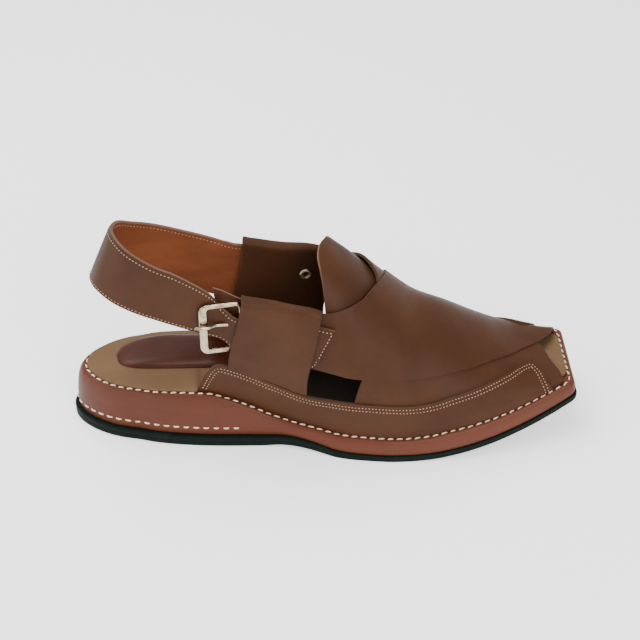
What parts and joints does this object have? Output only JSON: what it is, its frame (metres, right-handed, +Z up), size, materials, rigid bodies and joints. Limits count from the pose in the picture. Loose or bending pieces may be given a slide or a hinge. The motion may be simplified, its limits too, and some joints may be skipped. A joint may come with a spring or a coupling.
{
  "type": "peshawari chappal",
  "caption": "Right sandal of leather with crossed bands over the foot, an open square toe, side straps, a buckled heel strap and a wedge sole with a rubber tread.",
  "frame": {"origin": "on the floor, under the middle of the heel", "axes": "+X to the toe, +Y to the inner side of the foot, +Z up"},
  "size_m": [0.29, 0.1028, 0.1267],
  "materials": {
    "rubber": "matte black rubber",
    "sole_leather": "polished reddish brown leather",
    "insole_leather": "plain tan leather",
    "pad_leather": "glossy dark brown leather",
    "upper_leather": "smooth brown leather",
    "tongue_leather": "smooth brown leather",
    "strap_leather": "smooth brown leather, rust brown inside",
    "nickel": "worn pale nickel",
    "rivet_brass": "worn pale brass"
  },
  "bodies": {
    "root": {"outsole": "rubber", "midsole": "sole_leather", "insole": "insole_leather", "heel_pad": "pad_leather", "upper": "upper_leather", "tongue": "tongue_leather", "heel_strap": "strap_leather", "buckle_frame": "nickel", "buckle_prong": "nickel", "rivet": "rivet_brass"}
  },
  "joints": []
}
